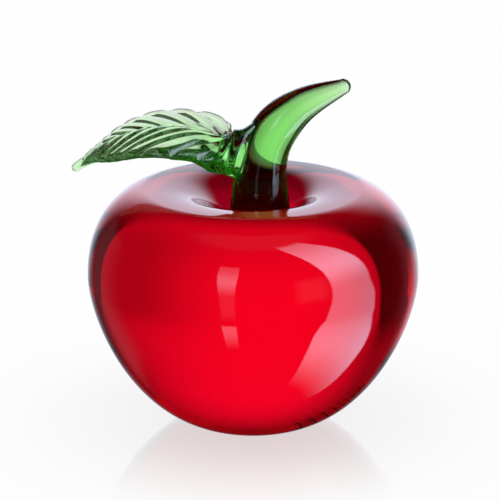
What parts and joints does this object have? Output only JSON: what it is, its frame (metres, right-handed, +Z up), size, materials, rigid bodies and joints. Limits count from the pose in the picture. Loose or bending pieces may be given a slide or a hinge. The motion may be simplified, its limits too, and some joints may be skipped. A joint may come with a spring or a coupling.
{
  "type": "art glass apple",
  "caption": "Solid red glass apple with a curved green glass stem in its dimple and a ribbed green glass leaf arching to one side; a free-standing paperweight or shelf ornament.",
  "frame": {"origin": "centre of the ground flat under the apple, on the surface that it stands on", "axes": "+Z up along the apple's axis; +X the way the stem bends; the leaf points towards -X; -Y is the side seen in the picture"},
  "size_m": [0.0849, 0.08, 0.085],
  "materials": {
    "red_glass": "clear ruby glass, fire polished",
    "green_glass": "clear green glass, fire polished",
    "leaf_glass": "clear green glass, pressed with ribs"
  },
  "bodies": {
    "root": {"apple_body": "red_glass", "stem": "green_glass", "leaf": "leaf_glass"}
  },
  "joints": []
}
